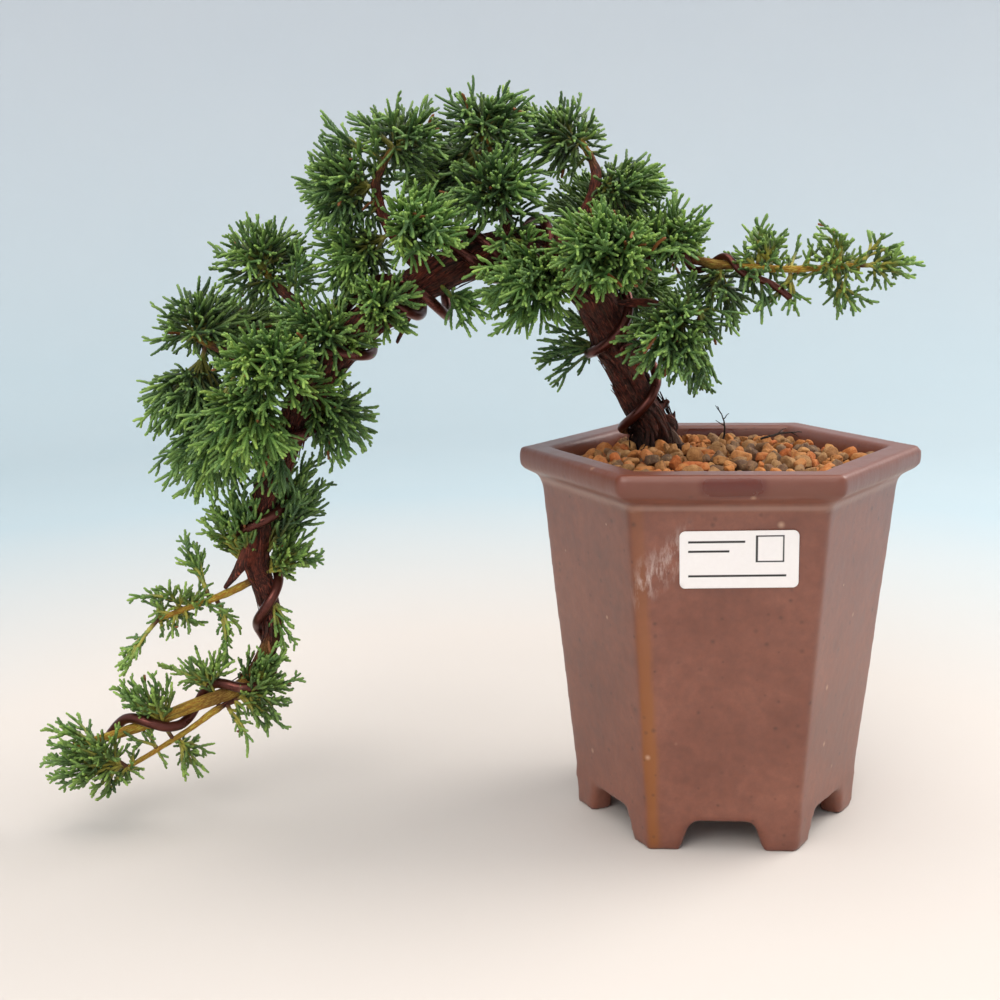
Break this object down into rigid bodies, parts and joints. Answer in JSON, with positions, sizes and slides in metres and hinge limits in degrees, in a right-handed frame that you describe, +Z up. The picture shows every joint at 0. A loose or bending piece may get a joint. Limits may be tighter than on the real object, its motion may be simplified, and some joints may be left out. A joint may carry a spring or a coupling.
{
  "type": "bonsai tree in a pot",
  "caption": "Cascading juniper bonsai: a wired trunk arches out of a tall hexagonal stoneware pot of gravel and falls below the rim, with tufted foliage pads.",
  "frame": {"origin": "centre of the bounding box at the level that the pot's feet stand on", "axes": "+X along the span of the tree, from the hanging tip towards the pot; +Y from the front to the back; +Z up"},
  "size_m": [0.2584, 0.1064, 0.2123],
  "materials": {
    "stoneware": "satin",
    "gravel": "matte",
    "paper": "matte",
    "mesh_plastic": "matte",
    "wire": "satin",
    "bark": "matte",
    "young_bark": "matte",
    "deadwood": "matte",
    "foliage": "matte"
  },
  "bodies": {
    "root": {"anchor_wire": "wire", "branch_wire": "wire", "cascade_wire": "wire", "dead_twig": "deadwood", "drainage_mesh": "mesh_plastic", "foliage_arch_left": "foliage", "foliage_arch_under": "foliage", "foliage_crown_back": "foliage", "foliage_crown_front": "foliage", "foliage_crown_front_left": "foliage", "foliage_crown_high_right": "foliage", "foliage_crown_low_back": "foliage", "foliage_crown_low_front": "foliage", "foliage_crown_low_right": "foliage", "foliage_crown_peak": "foliage", "foliage_crown_right": "foliage", "foliage_fall_end": "foliage", "foliage_fall_front": "foliage", "foliage_fall_left": "foliage", "foliage_fall_low_left": "foliage", "foliage_fall_low_right": "foliage", "foliage_fall_right": "foliage", "foliage_right_middle": "foliage", "foliage_right_near": "foliage", "foliage_right_tip": "foliage", "foliage_shoulder_back": "foliage", "foliage_shoulder_front": "foliage", "foliage_shoulder_left": "foliage", "foliage_shoulder_right": "foliage", "foliage_shoulder_top": "foliage", "foliage_tail_left": "foliage", "foliage_tail_right": "foliage", "foliage_tail_right_low": "foliage", "foliage_tip_end": "foliage", "foliage_tip_hanging": "foliage", "foliage_tip_middle": "foliage", "foliage_tip_upper": "foliage", "foliage_top_back": "foliage", "foliage_top_centre": "foliage", "foliage_top_front": "foliage", "foliage_top_left": "foliage", "foliage_top_left_edge": "foliage", "foliage_top_middle": "foliage", "label": "paper", "limb_crown": "young_bark", "limb_crown_back": "young_bark", "limb_left": "young_bark", "limb_low_right": "young_bark", "limb_right": "young_bark", "limb_shoulder": "young_bark", "limb_tail_left": "young_bark", "limb_tip_lower": "young_bark", "limb_top": "young_bark", "limb_top_left": "young_bark", "mesh_staple": "wire", "pot": "stoneware", "rootlet": "deadwood", "soil_bed": "gravel", "trunk": "bark", "trunk_wire": "wire"}
  },
  "joints": []
}
